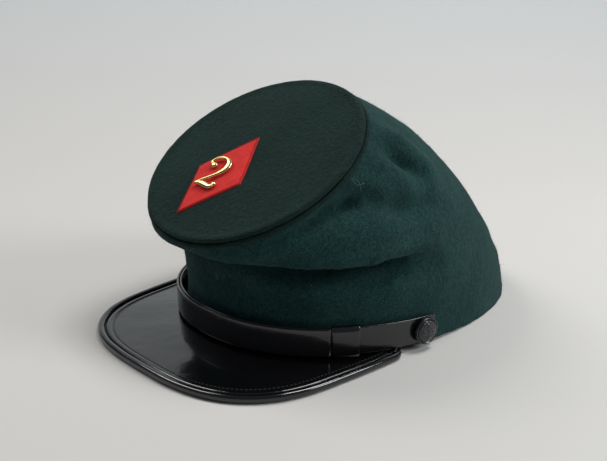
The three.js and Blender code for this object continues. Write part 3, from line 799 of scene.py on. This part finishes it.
def button_rings(tall):
    """Radius and height of the turned button's rings: those of its edge, then those of its dome."""
    edge = BUTTON_EDGE * tall
    rim = [
        (BUTTON_RADIUS - 0.8 * MM, 0.0),
        (BUTTON_RADIUS - 0.2 * MM, 0.2 * MM),
        (BUTTON_RADIUS, 0.8 * MM),
        (BUTTON_RADIUS, edge - 0.5 * MM),
        (BUTTON_RADIUS - 0.15 * MM, edge - 0.12 * MM),
        (BUTTON_RADIUS - 0.5 * MM, edge),
        (BUTTON_RADIUS - 0.85 * MM, edge - 0.15 * MM),
        (BUTTON_RADIUS - 1.0 * MM, edge - GROOVE_DEPTH),
    ]
    dome = []
    for i in range(DOME_RINGS):
        angle = (math.pi / 2) * i / DOME_RINGS
        height = edge - GROOVE_DEPTH + (tall - edge) * math.sin(angle)
        dome.append((DOME_RADIUS * math.cos(angle), height))
    return rim, dome


def rosette(share, angle):
    """The relief at a share of the dome's radius: four petals, a boss and a ring of beads."""
    petals = max(0.0, math.cos(4 * angle)) ** 0.7 * math.exp(-((share - 0.52) / 0.2) ** 2)
    boss = math.exp(-(share / 0.2) ** 4)
    beads = (0.5 + 0.5 * math.cos(24 * angle)) * math.exp(-((share - 0.9) / 0.05) ** 2)
    return PETAL_RISE * petals + BOSS_RISE * boss + BEAD_RISE * beads


def button(node, name, side):
    """A turned button: raised edge, groove and a dome with a plain rosette."""
    back, out, across, up, tall = button_frame(node, side)
    rim, dome = button_rings(tall)
    vertices = [back]
    for ring, (radius, height) in enumerate(rim + dome):
        for k in range(BUTTON_COLUMNS):
            angle = 2 * math.pi * k / BUTTON_COLUMNS
            lift = rosette(radius / DOME_RADIUS, angle) if ring >= len(rim) else 0.0
            direction = math.cos(angle) * across + math.sin(angle) * up
            vertices.append(back + radius * direction + (height + lift) * out)
    vertices.append(back + (tall - GROOVE_DEPTH + BOSS_RISE) * out)
    return piece(name, round_mesh(name, vertices, BUTTON_COLUMNS), HARD_RUBBER, "button_black", node)


# ---------------------------------------------------------------- the badge
BADGE_HALF = (17.6 * MM, 29.4 * MM)  # half of each diagonal
BADGE_TURN = math.radians(-5.2)
BADGE_PLACE = (-7.2 * MM, -18.7 * MM)  # its middle, left and back of the middle of the round top
BADGE_CELLS = 56
BADGE_THICKNESS = 0.6 * MM
BADGE_EDGE_RISE = 0.25 * MM
BADGE_UNDERSIDE = 0.05 * MM
BADGE_ROUNDING = 0.03  # the share of a side over which the felt gains its full thickness
WHIP_SPACING = 1.15 * MM
WHIP_RADIUS = 0.13 * MM
WHIP_LEAN = 0.012  # of a side, to the left and right in turn
WHIP_OUTER, WHIP_INNER = 1.015, 0.935  # where a stitch starts and ends, from the middle to the edge


def on_badge(across, along, rise):
    """A point on the lozenge: metres across and along its diagonals from its middle."""
    left = BADGE_PLACE[0] + across * math.cos(BADGE_TURN) - along * math.sin(BADGE_TURN)
    back = BADGE_PLACE[1] + across * math.sin(BADGE_TURN) + along * math.cos(BADGE_TURN)
    return on_top(left, back, rise + top_height(left, back))


def badge_patch():
    """The lozenge as a grid between its corners, with a rounded and slightly ragged edge."""
    size = BADGE_CELLS + 1
    upper = []
    lower = []
    for i in range(size):
        for k in range(size):
            s, t = i / BADGE_CELLS, k / BADGE_CELLS
            across = (s - t) * BADGE_HALF[0]
            along = (s + t - 1) * BADGE_HALF[1]
            edge = min(s, t, 1 - s, 1 - t)
            rise = BADGE_EDGE_RISE + BADGE_THICKNESS * min(1.0, edge / BADGE_ROUNDING) ** 0.5
            rise += 0.12 * MM * noise.noise(Vector((s * 9, t * 9, 2.0)))
            ragged = 0.0
            if edge == 0:
                ragged = 0.25 * MM * noise.noise(Vector((s * 40, t * 40, 7.0)))
            upper.append(on_badge(across + ragged, along + ragged, rise))
            lower.append(on_badge(across, along, BADGE_UNDERSIDE))
    under = len(upper)
    faces = []
    for i in range(BADGE_CELLS):
        for k in range(BADGE_CELLS):
            a, b = i * size + k, (i + 1) * size + k
            faces.append((a, b, b + 1, a + 1))
            faces.append((under + a + 1, under + b + 1, under + b, under + a))
    border = list(range(size))
    border += [i * size + BADGE_CELLS for i in range(1, size)]
    border += [BADGE_CELLS * size + k for k in range(BADGE_CELLS - 1, -1, -1)]
    border += [i * size for i in range(BADGE_CELLS - 1, 0, -1)]
    for a, b in zip(border, border[1:] + border[:1]):
        faces.append((a, b, under + b, under + a))
    mesh = mesh_from("badge_felt", upper + lower, faces)
    return piece("badge_felt", mesh, FELT, "badge_felt", "badge_patch")


def badge_stitches():
    """Small whip stitches over the lozenge's edges."""
    parts = []
    corners = [(0, 1), (1, 0), (0, -1), (-1, 0)]
    for corner, following in zip(corners, corners[1:] + corners[:1]):
        start = Vector(corner)
        side = Vector(following) - start
        length = math.hypot(side.x * BADGE_HALF[0], side.y * BADGE_HALF[1])
        count = round(length / WHIP_SPACING)
        for i in range(count):
            share = (i + 0.5) / count
            lean = WHIP_LEAN if i % 2 else -WHIP_LEAN
            outer = (start + side * share) * WHIP_OUTER
            inner = (start + side * (share + lean)) * WHIP_INNER
            points = []
            for t in (0.0, 0.35, 0.7, 1.0):
                spot = outer + (inner - outer) * t
                rise = (0.1 + 0.95 * math.sin(math.pi * min(1.0, 0.25 + 0.62 * t))) * MM
                points.append(on_badge(spot.x * BADGE_HALF[0], spot.y * BADGE_HALF[1], rise))
            parts.append(tube(points, [WHIP_RADIUS] * len(points), 5))
    return piece("badge_stitches", joined("badge_stitches", parts), RED_THREAD, "badge_felt")


def brass_numeral():
    """The CAD numeral, remeshed finely and softened as stamped metal is."""
    obj = placed("numeral_copy", frame["nodes"]["brass_numeral"].data.copy())
    remesh = obj.modifiers.new("fine", "REMESH")
    remesh.mode = "VOXEL"
    remesh.voxel_size = 0.13 * MM
    soften = obj.modifiers.new("soften", "SMOOTH")
    soften.factor = 0.5
    soften.iterations = 14
    return piece("numeral_brass", with_modifiers(obj), BRASS, "numeral_brass", "brass_numeral")


# ---------------------------------------------------------------- stage, lights and camera
SWEEP_START = 0.30  # metres behind the cap, where the floor begins to turn up
SWEEP_RADIUS = 0.7
STAGE_HALF_WIDTH = 2.6
BACKDROP_HEIGHT = 2.6
FLOOR_COLOR = (0.605, 0.59, 0.57)
BACKDROP_COLOR = (0.56, 0.59, 0.605)
# Each light: its name, its place to the camera's right, away from it and up, its width, watts and color.
LIGHTS = (
    ("key", (-0.7, 0.4, 1.1), 0.6, 6.5, (1.0, 0.98, 0.95)),
    ("overhead", (0.5, 0.12, 1.2), 0.45, 9.5, (1.0, 0.99, 0.97)),
    ("side", (1.0, -0.35, 0.62), 0.4, 6.0, (0.94, 0.98, 1.0)),
)
LIGHTS_AIM = (0, 0, 0.05)
SKY_COLOR = (0.8, 0.89, 1.0, 1.0)
SKY_STRENGTH = 0.17


def stage():
    """A pale floor that sweeps up into a backdrop."""
    azimuth = math.radians(CAMERA_AZIMUTH)
    away = np.array((-math.sin(azimuth), math.cos(azimuth)))
    right = np.array((away[1], -away[0]))
    profile = [(-1.6, 0.0), (-0.4, 0.0), (0.0, 0.0), (SWEEP_START, 0.0)]
    for angle in np.linspace(0.1, math.pi / 2, 14):
        profile.append((SWEEP_START + SWEEP_RADIUS * math.sin(angle), SWEEP_RADIUS * (1 - math.cos(angle))))
    profile.append((SWEEP_START + SWEEP_RADIUS, BACKDROP_HEIGHT))
    widths = np.linspace(-STAGE_HALF_WIDTH, STAGE_HALF_WIDTH, 9)
    vertices = [(*(away * distance + right * w), height) for distance, height in profile for w in widths]
    columns = len(widths)
    faces = []
    for row in range(len(profile) - 1):
        for k in range(columns - 1):
            a, b = row * columns + k, (row + 1) * columns + k
            faces.append((a, a + 1, b + 1, b))
    mesh = mesh_from("floor", vertices, faces)
    mesh.materials.append(stage_material("pale_floor", FLOOR_COLOR, BACKDROP_COLOR))
    shade_smooth(mesh)
    floor = placed("floor", mesh)


def area_light(name, place, size, power, color):
    """A square light that faces the cap."""
    data = bpy.data.lights.new(name, "AREA")
    data.shape = "RECTANGLE"
    data.size = size
    data.size_y = size
    data.energy = power
    data.color = color
    obj = placed(name, data)
    obj.location = place
    obj.rotation_euler = (Vector(LIGHTS_AIM) - place).to_track_quat("-Z", "Y").to_euler()


def lights():
    """Three soft lights and a dim bluish sky."""
    azimuth = math.radians(CAMERA_AZIMUTH)
    right = Vector((math.cos(azimuth), math.sin(azimuth), 0))
    away = Vector((-math.sin(azimuth), math.cos(azimuth), 0))
    up = Vector((0, 0, 1))
    for name, (to_right, distance, height), size, power, color in LIGHTS:
        area_light(name, to_right * right + distance * away + height * up, size, power, color)
    world = bpy.data.worlds.new("soft_studio")
    bpy.context.scene.world = world
    world.use_nodes = True
    background = world.node_tree.nodes["Background"]
    background.inputs["Color"].default_value = SKY_COLOR
    background.inputs["Strength"].default_value = SKY_STRENGTH


def camera():
    """The photo's camera, placed from the rest mount and the CAD's width."""
    mount = Vector(frame["record"]["mounts"][0]["pos_m"])
    centre = Vector(((CAD_BOX[0][0] + CAD_BOX[1][0]) / 2, mount.y - HEM_BACK_TO_CENTRE, 0.0))
    azimuth = math.radians(CAMERA_AZIMUTH)
    elevation = math.radians(CAMERA_ELEVATION)
    level = math.cos(elevation)
    back = Vector((math.sin(azimuth) * level, -math.cos(azimuth) * level, math.sin(elevation)))
    right = Vector((math.cos(azimuth), math.sin(azimuth), 0))
    up = back.cross(right)
    place = centre + CAMERA_DISTANCE * back + VIEW_OFFSET[0] * right + VIEW_OFFSET[1] * up
    data = bpy.data.cameras.new("camera")
    data.lens = CAMERA_LENS
    data.sensor_width = SENSOR_WIDTH
    data.clip_start = NEAR_CLIP
    obj = placed("camera", data)
    obj.matrix_world = Matrix.Translation(place) @ Matrix((right, up, back)).transposed().to_4x4()
    bpy.context.scene.camera = obj


# ---------------------------------------------------------------- the whole cap
camera()
lights()
stage()
bpy.context.scene.view_settings.view_transform = "Standard"
side_piece = crown_side()
top_piece = crown_top()
welt_piece = crown_welt()
wool_nap([
    (side_piece, 0.78, outside_of_side),
    (top_piece, 0.17, lambda points, directions: directions @ TOP_OUT > 0.5),
    (welt_piece, 0.05, lambda points, directions: directions @ TOP_OUT > -0.6),
], HAIRS)
lint(side_piece, specks=36, hairs=9)
peak_surface = peak()
peak_band(peak_surface)
peak_stitches(peak_surface)
strap_parts()
button("button_left", "button_left_rubber", 1)
button("button_right", "button_right_rubber", -1)
badge_piece = badge_patch()
badge_edge_stitches = badge_stitches()
brass_numeral()
